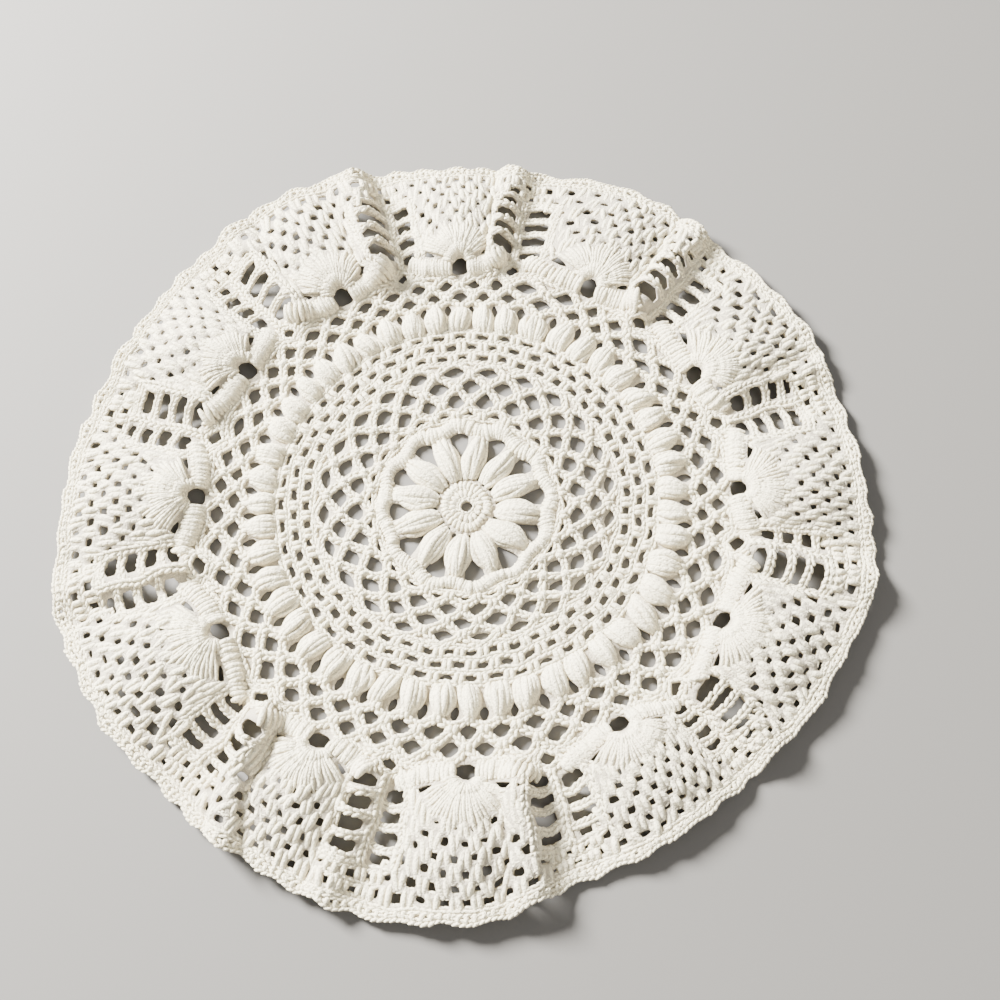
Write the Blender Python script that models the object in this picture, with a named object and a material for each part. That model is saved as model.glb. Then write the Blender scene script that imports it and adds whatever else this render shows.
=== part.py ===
"""A round crocheted lace doily, lying flat with its fanned border in soft ruffles.

The cloth is drawn flat first, in polar form: a bearing in degrees, clockwise from the far side (+Y),
and a radius in millimetres. The drawing is even, with twelve like sectors, and every gap that is cut
through is an outline in it. It is then triangulated and laid down, which turns and stretches the
sectors unevenly and ruffles the border, and last the crochet is given its thickness upwards.
"""
from math import cos, exp, hypot, pi, radians, sin

import bmesh
import bpy
from mathutils import Vector
from mathutils.geometry import delaunay_2d_cdt

MM = 0.001
FANS = 12
SECTOR = 360.0 / FANS      # from one fan to the next; a ladder of open rungs lies half way
PUFFS = 48
PUFF_PITCH = 360.0 / PUFFS
PETAL_START = 11.25        # bearing of the first petal's middle

# Radii of the flat drawing, in millimetres
EYE_R = 2.4                # the little ring that the work starts from
DISC_R = 12.8              # solid middle
PETAL_IN = 14.0
PETAL_OUT = 30.0
COVERED_RING = 35.5        # middle of the ring of covered chains
NET_1 = 45.0
NET_2 = 51.4
NET_3 = 57.4
FINE_MESH = 68.0           # middle of the close mesh, whose gaps are too small to cut
PUFF_IN = 76.5
PUFF_OUT = 88.0
NET_4 = 93.8
NET_5 = 100.8
ROOT_R = 109.6             # the eye that each fan grows from
RIM_R = 160.0

# Thickness of the crochet, in millimetres
CHAIN_T = 2.4
MESH_T = 2.8
DISC_T = 3.4
PETAL_T = 5.6
PUFF_T = 6.0
FAN_T = 3.6
FAN_HALF_TURN = 8.0        # degrees from a fan's middle to where its posts thin out
STEEPEST = 1.7             # the most that a slope may thicken the upright measure

# The open nets, all diamonds with their long way round the doily
NETS = (
    # radius, count, first bearing, half_wide and half_high in millimetres
    {"radius": NET_1, "count": 24, "first": 11.25, "half_wide": 4.1, "half_high": 3.0},
    {"radius": NET_2, "count": 24, "first": 3.75, "half_wide": 4.7, "half_high": 2.7},
    {"radius": NET_3, "count": 24, "first": 11.25, "half_wide": 4.6, "half_high": 2.2},
    {"radius": NET_4, "count": PUFFS, "first": 0.0, "half_wide": 3.7, "half_high": 2.6},
    {"radius": NET_5, "count": PUFFS, "first": 3.75, "half_wide": 4.1, "half_high": 2.6},
)

# The gap between two petals: radii of its point, its two corners and its top, and degrees to a corner
PETAL_GAP = {"tip": 20.2, "corner": 30.4, "top": 31.8, "half_turn": 8.2}

# The eye under a fan: each corner's degrees from the fan's middle and millimetres out from the root
ROOT_EYE = (
    {"turn": -1.4, "out": -3.2},
    {"turn": 1.4, "out": -3.2},
    {"turn": 1.9, "out": 0.6},
    {"turn": 0.0, "out": 3.4},
    {"turn": -1.9, "out": 0.6},
)

# The gaps of one ladder: turn is in degrees from the ladder's middle
LADDER = (
    {"turn": 0.0, "radius": 108.0, "half_wide": 3.4, "half_high": 3.0},
    {"turn": 3.2, "radius": 116.6, "half_wide": 3.9, "half_high": 1.9},
    {"turn": -3.2, "radius": 119.2, "half_wide": 4.0, "half_high": 2.4},
    {"turn": 3.2, "radius": 124.2, "half_wide": 4.3, "half_high": 2.5},
    {"turn": -3.2, "radius": 127.0, "half_wide": 4.3, "half_high": 2.5},
    {"turn": 3.2, "radius": 131.8, "half_wide": 4.3, "half_high": 2.4},
    {"turn": -3.2, "radius": 134.6, "half_wide": 4.3, "half_high": 2.4},
    {"turn": 3.2, "radius": 139.2, "half_wide": 4.1, "half_high": 2.3},
)

# How each fan and the ladder after it lie, clockwise from the far side. fan_turn and ladder_turn:
# degrees from their even places. root, fan_rim and ladder_rim: radii in millimetres.
# Each ladder has one ruffle: crest_in and crest_out are the bearing of its crest from the ladder at
# the root and at the rim, high its height, before and after the spread of its flanks in degrees.
SECTORS = (
    {"fan_turn": 0.3, "root": 109.6, "fan_rim": 159.0, "ladder_turn": -3.0, "ladder_rim": 160.0,
     "crest_in": -5.0, "crest_out": -2.0, "high": 9.0, "before": 3.8, "after": 2.4},
    {"fan_turn": 1.3, "root": 109.6, "fan_rim": 163.0, "ladder_turn": 0.0, "ladder_rim": 160.4,
     "crest_in": -2.5, "crest_out": -3.5, "high": 11.0, "before": 3.8, "after": 2.2},
    {"fan_turn": 3.2, "root": 108.9, "fan_rim": 160.8, "ladder_turn": 0.0, "ladder_rim": 158.6,
     "crest_in": -7.0, "crest_out": -5.0, "high": 5.5, "before": 3.6, "after": 3.4},
    {"fan_turn": 1.7, "root": 109.4, "fan_rim": 156.8, "ladder_turn": -1.0, "ladder_rim": 160.8,
     "crest_in": 1.5, "crest_out": 2.5, "high": 8.0, "before": 3.0, "after": 3.6},
    {"fan_turn": 0.7, "root": 111.8, "fan_rim": 155.6, "ladder_turn": 2.0, "ladder_rim": 151.4,
     "crest_in": -3.5, "crest_out": -2.5, "high": 8.0, "before": 3.4, "after": 2.4},
    {"fan_turn": 0.3, "root": 108.9, "fan_rim": 150.4, "ladder_turn": 1.0, "ladder_rim": 150.8,
     "crest_in": 6.0, "crest_out": 6.5, "high": 11.0, "before": 2.4, "after": 4.0},
    {"fan_turn": 1.6, "root": 109.7, "fan_rim": 159.0, "ladder_turn": 2.0, "ladder_rim": 159.6,
     "crest_in": 3.0, "crest_out": 3.5, "high": 7.0, "before": 3.0, "after": 3.2},
    {"fan_turn": 0.9, "root": 111.6, "fan_rim": 157.5, "ladder_turn": 0.0, "ladder_rim": 156.4,
     "crest_in": -2.5, "crest_out": -10.5, "high": 13.0, "before": 3.6, "after": 2.3},
    {"fan_turn": 1.3, "root": 109.9, "fan_rim": 160.2, "ladder_turn": 2.0, "ladder_rim": 163.6,
     "crest_in": 0.5, "crest_out": 1.5, "high": 5.5, "before": 3.2, "after": 3.4},
    {"fan_turn": 2.3, "root": 108.4, "fan_rim": 159.6, "ladder_turn": 2.0, "ladder_rim": 161.0,
     "crest_in": 4.5, "crest_out": 8.5, "high": 7.5, "before": 2.6, "after": 4.0},
    {"fan_turn": 3.8, "root": 109.3, "fan_rim": 160.6, "ladder_turn": 2.0, "ladder_rim": 165.0,
     "crest_in": 5.0, "crest_out": 6.0, "high": 8.5, "before": 2.8, "after": 3.6},
    {"fan_turn": 2.0, "root": 108.2, "fan_rim": 167.6, "ladder_turn": 2.0, "ladder_rim": 163.4,
     "crest_in": -4.5, "crest_out": -3.5, "high": 13.5, "before": 4.2, "after": 2.2},
)
RUFFLE_FROM = 101.0        # radius at which the cloth starts to leave the surface
RUFFLE_FULL = 120.0
RIM_KEEPS = 0.62           # share of a crest's height that is left at the rim
FAN_ARCH = 8.0             # how far a fan's middle arches up
ARCH_SPAN = 0.86 * SECTOR  # degrees from one foot of the arch to the other
ARCH_FALLS = 0.55          # share of the arch that is lost at the rim
EVEN_TO = 60.0             # radius up to which the sectors are not turned or stretched
MIDDLE_DRIFT = -3.9        # the middle lies this far towards -Y
DRIFT_FROM = 15.0
DRIFT_TO = 76.0
CENTRING = Vector((1.79, -0.91))  # puts the middle of the outline's box on the origin
FLAT_TO = 70.0             # radius up to which the cloth lies quite flat
BORDER_CLEAR = 0.4         # clearance under the border's hollows, which touch only at the rest spots
REST_SPREAD = 9.0          # how far around a rest spot the cloth is drawn down

# Where the border's hollows touch the surface
REST_SPOTS = (
    {"bearing": 46.9, "radius": 150.0},
    {"bearing": 164.0, "radius": 150.0},
    {"bearing": 284.8, "radius": 150.0},
)

# Points that carry the relief of one petal: degrees from its middle, and radius
PETAL_POINTS = (
    {"turn": 0.0, "radius": DISC_R},
    {"turn": 15.0, "radius": DISC_R},
    {"turn": 0.0, "radius": PETAL_IN},
    {"turn": 15.0, "radius": 16.5},
    {"turn": 0.0, "radius": 18.0},
    {"turn": -7.0, "radius": 22.5},
    {"turn": 0.0, "radius": 22.5},
    {"turn": 7.0, "radius": 22.5},
    {"turn": 0.0, "radius": 27.0},
    {"turn": 0.0, "radius": COVERED_RING},
    {"turn": 15.0, "radius": COVERED_RING},
)

# Points that carry the relief of one puff and of the close mesh inside it
PUFF_POINTS = (
    {"turn": 0.0, "radius": FINE_MESH},
    {"turn": 3.75, "radius": PUFF_IN},
    {"turn": 3.75, "radius": PUFF_OUT - 1.5},
    {"turn": 0.0, "radius": 79.5},
    {"turn": -1.9, "radius": 82.5},
    {"turn": 1.9, "radius": 82.5},
    {"turn": 0.0, "radius": 85.5},
)

# Radii and spacing of the points along each ruffle's crest and over each fan's arch
CREST_RADII = (113.5, 121.5, 129.5, 137.0, 144.5, 152.0)
CREST_BEFORE = (-1.5, -0.8, -0.35)   # in spreads from the crest
CREST_AFTER = (0.0, 0.35, 0.8, 1.5)
ARCH_RADII = (117.5, 127.0, 137.0, 147.0, 154.0)
ARCH_TURNS = (-6.0, -2.0, 2.0, 6.0)


def turn_between(bearing, other):
    """Signed degrees from other to bearing, from -180 to 180."""
    return (bearing - other + 180.0) % 360.0 - 180.0


def smooth(value, low, high):
    """0 below low, 1 above high, and an even S between them."""
    share = min(1.0, max(0.0, (value - low) / (high - low)))
    return share * share * (3.0 - 2.0 * share)


def flat_point(bearing, radius):
    """A point of the flat drawing, in millimetres."""
    angle = radians(bearing)
    return Vector((radius * sin(angle), radius * cos(angle)))


def along_sectors(bearing, fan_column, ladder_column):
    """A value at a bearing, eased between the fans' column and the ladders' column."""
    place = (bearing % 360.0) / SECTOR
    row = SECTORS[int(place) % FANS]
    after = SECTORS[(int(place) + 1) % FANS]
    share = place % 1.0
    if share < 0.5:
        return row[fan_column] + (row[ladder_column] - row[fan_column]) * smooth(share, 0.0, 0.5)
    return row[ladder_column] + (after[fan_column] - row[ladder_column]) * smooth(share, 0.5, 1.0)


def laid(bearing, radius):
    """Where a point of the flat drawing lies in plan, in millimetres."""
    reach = smooth(radius, EVEN_TO, ROOT_R)
    turned = bearing + reach * along_sectors(bearing, "fan_turn", "ladder_turn")
    root = along_sectors(bearing, "root", "root")
    rim = along_sectors(bearing, "fan_rim", "ladder_rim")
    if radius < ROOT_R:
        stretched = radius + reach * (root - ROOT_R)
    else:
        stretched = root + (rim - root) * (radius - ROOT_R) / (RIM_R - ROOT_R)
    drift = Vector((0.0, MIDDLE_DRIFT * (1.0 - smooth(radius, DRIFT_FROM, DRIFT_TO))))
    return flat_point(turned, stretched) + drift + CENTRING


def out_share(radius):
    """0 at the fans' roots and 1 at the rim."""
    return (radius - ROOT_R) / (RIM_R - ROOT_R)


def rest_share(bearing, radius):
    """1 where the border touches the surface, falling to 0 around it."""
    shares = []
    for spot in REST_SPOTS:
        away = (flat_point(bearing, radius) - flat_point(spot["bearing"], spot["radius"])).length
        shares.append(exp(-((away / REST_SPREAD) ** 2)))
    return max(shares)


def crest_bearing(sector, radius):
    """Bearing of a sector's ruffle crest at a radius."""
    row = SECTORS[sector]
    middle = SECTOR * (sector + 0.5)
    return middle + row["crest_in"] + (row["crest_out"] - row["crest_in"]) * out_share(radius)


def crest_height(bearing, radius):
    """The tallest ruffle over a point of the flat drawing, in millimetres."""
    taper = 1.0 - (1.0 - RIM_KEEPS) * max(0.0, out_share(radius))
    heights = []
    for sector, row in enumerate(SECTORS):
        off = turn_between(bearing, crest_bearing(sector, radius))
        spread = row["before"] if off < 0 else row["after"]
        heights.append(row["high"] * taper * exp(-((off / spread) ** 2)))
    return max(heights)


def fan_off(bearing):
    """Signed degrees from the nearest fan's middle."""
    return (bearing + SECTOR / 2) % SECTOR - SECTOR / 2


def cloth_height(bearing, radius):
    """Height of the cloth's underside over the surface, in millimetres."""
    arch = FAN_ARCH * max(0.0, cos(pi * fan_off(bearing) / ARCH_SPAN))
    arch *= 1.0 - ARCH_FALLS * smooth(radius, 0.5 * (ROOT_R + RIM_R), RIM_R)
    ruffle = smooth(radius, RUFFLE_FROM, RUFFLE_FULL) * max(crest_height(bearing, radius), arch)
    clearance = BORDER_CLEAR * smooth(radius, FLAT_TO, RUFFLE_FROM)
    return (ruffle + clearance) * (1.0 - rest_share(bearing, radius))


def slope(bearing, radius):
    """How much longer the cloth is than its plan, from two short steps across and along it."""
    step = 0.6
    turn = step / radians(radius) if radius > DISC_R else 0.0
    across = cloth_height(bearing + turn, radius) - cloth_height(bearing - turn, radius)
    along = cloth_height(bearing, radius + step) - cloth_height(bearing, radius - step)
    return hypot(1.0, across / (2.0 * step), along / (2.0 * step))


def swell(across, along, edge, top):
    """Thickness of a puffed cluster: edge at its outline, where across or along is 1, and top inside."""
    return edge + (top - edge) * max(0.0, 1.0 - across ** 2) * max(0.0, 1.0 - along ** 2)


def thickness(bearing, radius):
    """Thickness of the crochet at a point of the flat drawing, in millimetres."""
    if radius <= DISC_R:
        return DISC_T
    if radius <= PETAL_OUT:
        across = ((bearing - PETAL_START) / SECTOR + 0.5) % 1.0 - 0.5
        middle = (PETAL_IN + PETAL_OUT) / 2
        return swell(across / 0.42, (radius - middle) / (PETAL_OUT - middle), MESH_T, PETAL_T)
    if PUFF_IN < radius < PUFF_OUT:
        across = (bearing / PUFF_PITCH + 0.5) % 1.0 - 0.5
        middle = (PUFF_IN + PUFF_OUT) / 2
        return swell(across / 0.5, (radius - middle) / (PUFF_OUT - middle), MESH_T, PUFF_T)
    if NET_3 < radius <= PUFF_IN:
        return MESH_T
    if radius > ROOT_R:
        posts = exp(-((fan_off(bearing) / FAN_HALF_TURN) ** 2))
        posts *= 1.0 - smooth(out_share(radius), 0.4, 0.8)
        return CHAIN_T + (FAN_T - CHAIN_T) * posts
    return CHAIN_T


def diamond(bearing, gap):
    """A gap between four chains, its long way round the doily."""
    radius, high = gap["radius"], gap["half_high"]
    turn = gap["half_wide"] / radians(radius)
    before, after = bearing - turn, bearing + turn
    return [(bearing, radius - high), (after, radius), (bearing, radius + high), (before, radius)]


def slot(bearing, gap):
    """A gap between two rungs: a short bar of open space with square ends."""
    inner, outer = gap["radius"] - gap["half_high"], gap["radius"] + gap["half_high"]
    turn = gap["half_wide"] / radians(gap["radius"])
    before, after = bearing - turn, bearing + turn
    return [(before, inner), (after, inner), (after, outer), (before, outer)]


def petal_gap(bearing):
    """The open triangle between two petals, against the covered chains."""
    tip, corner, top = PETAL_GAP["tip"], PETAL_GAP["corner"], PETAL_GAP["top"]
    turn = PETAL_GAP["half_turn"]
    return [(bearing, tip), (bearing + turn, corner), (bearing, top), (bearing - turn, corner)]


def root_eye(bearing):
    """The eye under a fan, with its flat side to the middle."""
    return [(bearing + corner["turn"], ROOT_R + corner["out"]) for corner in ROOT_EYE]


def gaps():
    """Every gap that is cut through, as convex loops of (bearing, radius)."""
    eye_sides = 8
    found = [[(360.0 * k / eye_sides, EYE_R) for k in range(eye_sides)]]
    found += [petal_gap(PETAL_START + SECTOR * (k + 0.5)) for k in range(FANS)]
    for net in NETS:
        found += [diamond(net["first"] + 360.0 * k / net["count"], net) for k in range(net["count"])]
    for k in range(FANS):
        found.append(root_eye(SECTOR * k))
        found.append(diamond(SECTOR * (k + 0.5), LADDER[0]))
        found += [slot(SECTOR * (k + 0.5) + gap["turn"], gap) for gap in LADDER[1:]]
    return found


def rim():
    """The border's outline, with a small scallop at the end of every other mesh."""
    corners, tooth = 240, 1.1
    return [(360.0 * k / corners, RIM_R + (tooth if k % 2 else -tooth)) for k in range(corners)]


def cluster_points():
    """Points that carry the petals, the covered chains, the close mesh and the puffs."""
    found = []
    for k in range(FANS):
        found += [(PETAL_START + SECTOR * k + point["turn"], point["radius"]) for point in PETAL_POINTS]
    for k in range(PUFFS):
        found += [(PUFF_PITCH * k + point["turn"], point["radius"]) for point in PUFF_POINTS]
    return found


def ruffle_points():
    """Points at the rest spots, along each ruffle's crest and flanks and over each fan's arch."""
    found = [(spot["bearing"], spot["radius"]) for spot in REST_SPOTS]
    for sector, row in enumerate(SECTORS):
        for radius in CREST_RADII:
            crest = crest_bearing(sector, radius)
            found += [(crest + share * row["before"], radius) for share in CREST_BEFORE]
            found += [(crest + share * row["after"], radius) for share in CREST_AFTER]
        for radius in ARCH_RADII:
            found += [(SECTOR * sector + turn, radius) for turn in ARCH_TURNS]
    return found


def in_loop(place, loop, margin):
    """Whether a point lies in a convex loop or within a margin of its sides, in millimetres."""
    point = flat_point(*place)
    corners = [flat_point(*corner) for corner in loop]
    middle = sum(corners, Vector((0.0, 0.0))) / len(corners)
    for start, end in zip(corners, corners[1:] + corners[:1]):
        side = (end - start).normalized()
        away = Vector((side.y, -side.x))
        if (middle - start).dot(away) > 0:
            away.negate()
        if (point - start).dot(away) > margin:
            return False
    return True


def clear_of(loops, places, margin):
    """The places that are on crochet, with no two of them closer than the margin."""
    kept = []
    for place in places:
        near_loops = [loop for loop in loops if (flat_point(*loop[0]) - flat_point(*place)).length < 14.0]
        crowded = any((flat_point(*other) - flat_point(*place)).length < margin for other in kept)
        if not crowded and not any(in_loop(place, loop, margin) for loop in near_loops):
            kept.append(place)
    return kept


def triangulated():
    """The flat drawing's places and its triangles, with no triangle inside a gap."""
    outline, cuts = rim(), gaps()
    places, owners, edges = [], [], []
    for owner, loop in enumerate([outline] + cuts):
        start = len(places)
        places += loop
        owners += [owner] * len(loop)
        edges += [(start + k, start + (k + 1) % len(loop)) for k in range(len(loop))]
    inside = clear_of(cuts, cluster_points() + ruffle_points(), margin=1.0)
    places += inside
    owners += [-1] * len(inside)
    flat = [flat_point(*place) for place in places]
    inside_outline, nearest = 1, 1e-4
    points, _, triangles, sources, _, _ = delaunay_2d_cdt(flat, edges, [], inside_outline, nearest)
    if len(points) != len(places):
        raise ValueError("two outlines of the flat drawing cross")
    order = [source[0] for source in sources]
    crochet = []
    for triangle in triangles:
        of_loops = {owners[order[corner]] for corner in triangle}
        if len(of_loops) > 1 or min(of_loops) < 1:
            crochet.append(triangle)
    return [places[index] for index in order], crochet


def crocheted_cloth():
    """The whole doily as one solid: the laid underside, extruded up by the crochet's thickness."""
    places, triangles = triangulated()
    mesh = bpy.data.meshes.new("doily")
    bm = bmesh.new()
    place_index = bm.verts.layers.int.new("place")
    under = []
    for index, (bearing, radius) in enumerate(places):
        plan = laid(bearing, radius)
        vert = bm.verts.new((plan.x * MM, plan.y * MM, cloth_height(bearing, radius) * MM))
        vert[place_index] = index
        under.append(vert)
    faces = [bm.faces.new([under[corner] for corner in triangle]) for triangle in triangles]
    raised = bmesh.ops.extrude_face_region(bm, geom=faces, use_keep_orig=True)
    for vert in [item for item in raised["geom"] if isinstance(item, bmesh.types.BMVert)]:
        bearing, radius = places[vert[place_index]]
        vert.co.z += thickness(bearing, radius) * min(STEEPEST, slope(bearing, radius)) * MM
    bmesh.ops.recalc_face_normals(bm, faces=bm.faces)
    bm.verts.layers.int.remove(place_index)
    bm.to_mesh(mesh)
    bm.free()
    return mesh


def cotton():
    """Natural unbleached cotton."""
    material = bpy.data.materials.new("natural_cotton")
    material.use_nodes = True
    shader = material.node_tree.nodes["Principled BSDF"]
    shader.inputs["Base Color"].default_value = (0.83, 0.80, 0.72, 1.0)
    shader.inputs["Roughness"].default_value = 0.92
    shader.inputs["Metallic"].default_value = 0.0
    return material


def main():
    for obj in list(bpy.data.objects):
        bpy.data.objects.remove(obj)
    collection = bpy.data.collections.new("lace_doily")
    bpy.context.scene.collection.children.link(collection)
    doily = bpy.data.objects.new("doily", crocheted_cloth())
    doily.data.materials.append(cotton())
    collection.objects.link(doily)


main()
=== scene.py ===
"""A round crocheted lace doily, stitch by stitch, lying on a plain pale floor.

Everything is drawn flat first, in polar form: a bearing in degrees, clockwise from the far side (+Y),
and a radius in millimetres. The flat drawing is then laid down with the same ruffles as the solid.
"""
from math import cos, degrees, exp, hypot, pi, radians, sin, tau

import bmesh
import bpy
from mathutils import Matrix, Vector, noise
from mathutils.geometry import delaunay_2d_cdt


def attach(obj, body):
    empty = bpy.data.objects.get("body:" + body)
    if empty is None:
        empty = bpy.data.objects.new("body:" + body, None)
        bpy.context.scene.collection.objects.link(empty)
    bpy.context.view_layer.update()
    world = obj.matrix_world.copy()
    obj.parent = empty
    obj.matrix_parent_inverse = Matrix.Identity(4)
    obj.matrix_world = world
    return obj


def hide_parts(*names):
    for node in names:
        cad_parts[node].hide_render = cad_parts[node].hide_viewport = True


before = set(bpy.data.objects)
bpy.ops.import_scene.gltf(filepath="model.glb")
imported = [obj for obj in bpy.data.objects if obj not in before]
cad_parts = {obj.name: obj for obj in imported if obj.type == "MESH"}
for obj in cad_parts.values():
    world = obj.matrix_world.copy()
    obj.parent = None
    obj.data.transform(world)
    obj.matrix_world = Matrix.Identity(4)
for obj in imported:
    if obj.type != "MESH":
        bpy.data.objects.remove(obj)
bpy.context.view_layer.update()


def table(columns, *rows):
    """Rows of values under named columns."""
    return [dict(zip(columns.split(), row)) for row in rows]


MM = 0.001
FANS = 12
SECTOR = 360.0 / FANS
PUFFS = 48
PUFF_PITCH = 360.0 / PUFFS
PETAL_START = 11.25        # bearing of the first petal

# Radii of the flat drawing, in millimetres
EYE_R = 2.4
PETAL_IN = 14.0
PETAL_OUT = 30.0
COVERED_RING = 33.9
CLOSE_ROWS = (63.9, 69.1, 74.2)
PUFF_IN = 76.5
PUFF_OUT = 88.0
ROOT_R = 109.6
RIM_R = 160.0

# The thin ground, in millimetres
GROUND_T = 0.9
GROUND_LIFT = 1.05         # height of the ground's middle over the underside
MESH_FILL = 0.65           # how much higher it stands under the fans' mesh

# How each fan and the ladder after it lie, clockwise from the far side. fan_turn and ladder_turn:
# degrees from their even places. root, fan_rim and ladder_rim: radii in millimetres. open: how open
# the fan's mesh is. Each ladder has one ruffle: crest_in and crest_out are the bearing of its crest
# from the ladder at the root and at the rim, high its height, before and after its flanks' spread.
SECTORS = table(
    "fan_turn root fan_rim ladder_turn ladder_rim open crest_in crest_out high before after",
    (0.3, 109.6, 159.0, -3.0, 160.0, 0.8, -5.0, -2.0, 9.0, 3.8, 2.4),
    (1.3, 109.6, 163.0, 0.0, 160.4, 0.8, -2.5, -3.5, 11.0, 3.8, 2.2),
    (3.2, 108.9, 160.8, 0.0, 158.6, 1.0, -7.0, -5.0, 5.5, 3.6, 3.4),
    (1.7, 109.4, 156.8, -1.0, 160.8, 0.8, 1.5, 2.5, 8.0, 3.0, 3.6),
    (0.7, 111.8, 155.6, 2.0, 151.4, 1.0, -3.5, -2.5, 8.0, 3.4, 2.4),
    (0.3, 108.9, 150.4, 1.0, 150.8, 1.05, 6.0, 6.5, 11.0, 2.4, 4.0),
    (1.6, 109.7, 159.0, 2.0, 159.6, 1.1, 3.0, 3.5, 7.0, 3.0, 3.2),
    (0.9, 111.6, 157.5, 0.0, 156.4, 1.0, -2.5, -10.5, 13.0, 3.6, 2.3),
    (1.3, 109.9, 160.2, 2.0, 163.6, 1.0, 0.5, 1.5, 5.5, 3.2, 3.4),
    (2.3, 108.4, 159.6, 2.0, 161.0, 0.95, 4.5, 8.5, 7.5, 2.6, 4.0),
    (3.8, 109.3, 160.6, 2.0, 165.0, 0.7, 5.0, 6.0, 8.5, 2.8, 3.6),
    (2.0, 108.2, 167.6, 2.0, 163.4, 1.0, -4.5, -3.5, 13.5, 4.2, 2.2),
)
RUFFLE_FROM = 101.0        # radius at which the cloth starts to leave the surface
RUFFLE_FULL = 120.0
RIM_KEEPS = 0.62           # share of a crest's height that is left at the rim
FAN_ARCH = 8.0             # how far a fan's middle arches up
ARCH_SPAN = 0.86 * SECTOR  # degrees from one foot of the arch to the other
ARCH_FALLS = 0.55          # share of the arch that is lost at the rim
EVEN_TO = 60.0             # radius up to which the sectors are not turned or stretched
MIDDLE_DRIFT = -3.9        # the middle lies this far towards -Y
DRIFT_FROM = 15.0
DRIFT_TO = 76.0
CENTRING = Vector((1.79, -0.91))
FLAT_TO = 70.0             # radius up to which the cloth lies quite flat
BORDER_CLEAR = 0.4         # clearance under the border, which touches only at the rest spots
REST_SPREAD = 9.0
REST_SPOTS = ((46.9, 150.0), (164.0, 150.0), (284.8, 150.0))

# A hand's unevenness: how far a stitch strays from the drawing, in millimetres, over two lengths
STRAY_NEAR, STRAY_NEAR_LENGTH = 0.9, 8.0
STRAY_FAR, STRAY_FAR_LENGTH = 1.1, 30.0
BUCKLE, BUCKLE_LENGTH = 0.7, 16.0
STRAY_SEED = 7
noise.seed_set(STRAY_SEED)      # the stray is the same each time


# ---- laying the flat drawing down

def in_scene(name, data):
    """A new object in the scene for a mesh, a camera or a light."""
    made = bpy.data.objects.new(name, data)
    bpy.context.scene.collection.objects.link(made)
    return made


def drawn_mesh(name, bm):
    """A mesh of what was drawn, with its faces turned outwards."""
    bmesh.ops.recalc_face_normals(bm, faces=bm.faces)
    mesh = bpy.data.meshes.new(name)
    bm.to_mesh(mesh)
    bm.free()
    return mesh


def smooth(value, low, high):
    """0 below low, 1 above high, and an even S between them."""
    share = min(1.0, max(0.0, (value - low) / (high - low)))
    return share * share * (3.0 - 2.0 * share)


def flat_point(bearing, radius):
    """A point of the flat drawing, in millimetres."""
    angle = radians(bearing)
    return Vector((radius * sin(angle), radius * cos(angle)))


def along_sectors(bearing, fan_column, ladder_column):
    """A value at a bearing, eased between the fans' column and the ladders' column."""
    place = (bearing % 360.0) / SECTOR
    row = SECTORS[int(place) % FANS]
    at_fan, at_ladder = row[fan_column], row[ladder_column]
    share = place % 1.0
    if share < 0.5:
        return at_fan + (at_ladder - at_fan) * smooth(share, 0.0, 0.5)
    next_fan = SECTORS[(int(place) + 1) % FANS][fan_column]
    return at_ladder + (next_fan - at_ladder) * smooth(share, 0.5, 1.0)


def out_share(radius):
    """0 at the fans' roots and 1 at the rim."""
    return (radius - ROOT_R) / (RIM_R - ROOT_R)


def plan(bearing, radius):
    """Where a point of the flat drawing lies in plan, in millimetres."""
    reach = smooth(radius, EVEN_TO, ROOT_R)
    turned = bearing + reach * along_sectors(bearing, "fan_turn", "ladder_turn")
    root = along_sectors(bearing, "root", "root")
    rim = along_sectors(bearing, "fan_rim", "ladder_rim")
    if radius < ROOT_R:
        stretched = radius + reach * (root - ROOT_R)
    else:
        stretched = root + (rim - root) * out_share(radius)
    drift = Vector((0.0, MIDDLE_DRIFT * (1.0 - smooth(radius, DRIFT_FROM, DRIFT_TO))))
    return flat_point(turned, stretched) + drift + CENTRING


def crest_height(bearing, radius):
    """The tallest ruffle over a point of the flat drawing, in millimetres."""
    out = out_share(radius)
    taper = 1.0 - (1.0 - RIM_KEEPS) * max(0.0, out)
    tallest = 0.0
    nearest = int((bearing % 360.0) / SECTOR)
    for sector in (nearest - 1, nearest, nearest + 1):
        row = SECTORS[sector % FANS]
        crest = SECTOR * (sector + 0.5) + row["crest_in"] + (row["crest_out"] - row["crest_in"]) * out
        off = bearing % 360.0 - crest
        spread = row["before"] if off < 0 else row["after"]
        tallest = max(tallest, row["high"] * taper * exp(-((off / spread) ** 2)))
    return tallest


def cloth_height(bearing, radius):
    """Height of the cloth's underside over the surface, in millimetres."""
    rise = smooth(radius, RUFFLE_FROM, RUFFLE_FULL)
    clearance = BORDER_CLEAR * smooth(radius, FLAT_TO, RUFFLE_FROM)
    if rise == 0.0:
        return clearance
    fan_off = (bearing + SECTOR / 2) % SECTOR - SECTOR / 2
    arch = FAN_ARCH * max(0.0, cos(pi * fan_off / ARCH_SPAN))
    arch *= 1.0 - ARCH_FALLS * smooth(radius, 0.5 * (ROOT_R + RIM_R), RIM_R)
    here = flat_point(bearing, radius)
    away = min((here - flat_point(*spot)).length for spot in REST_SPOTS)
    lowered = 1.0 - exp(-((away / REST_SPREAD) ** 2))
    return (rise * max(crest_height(bearing, radius), arch) + clearance) * lowered


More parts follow.
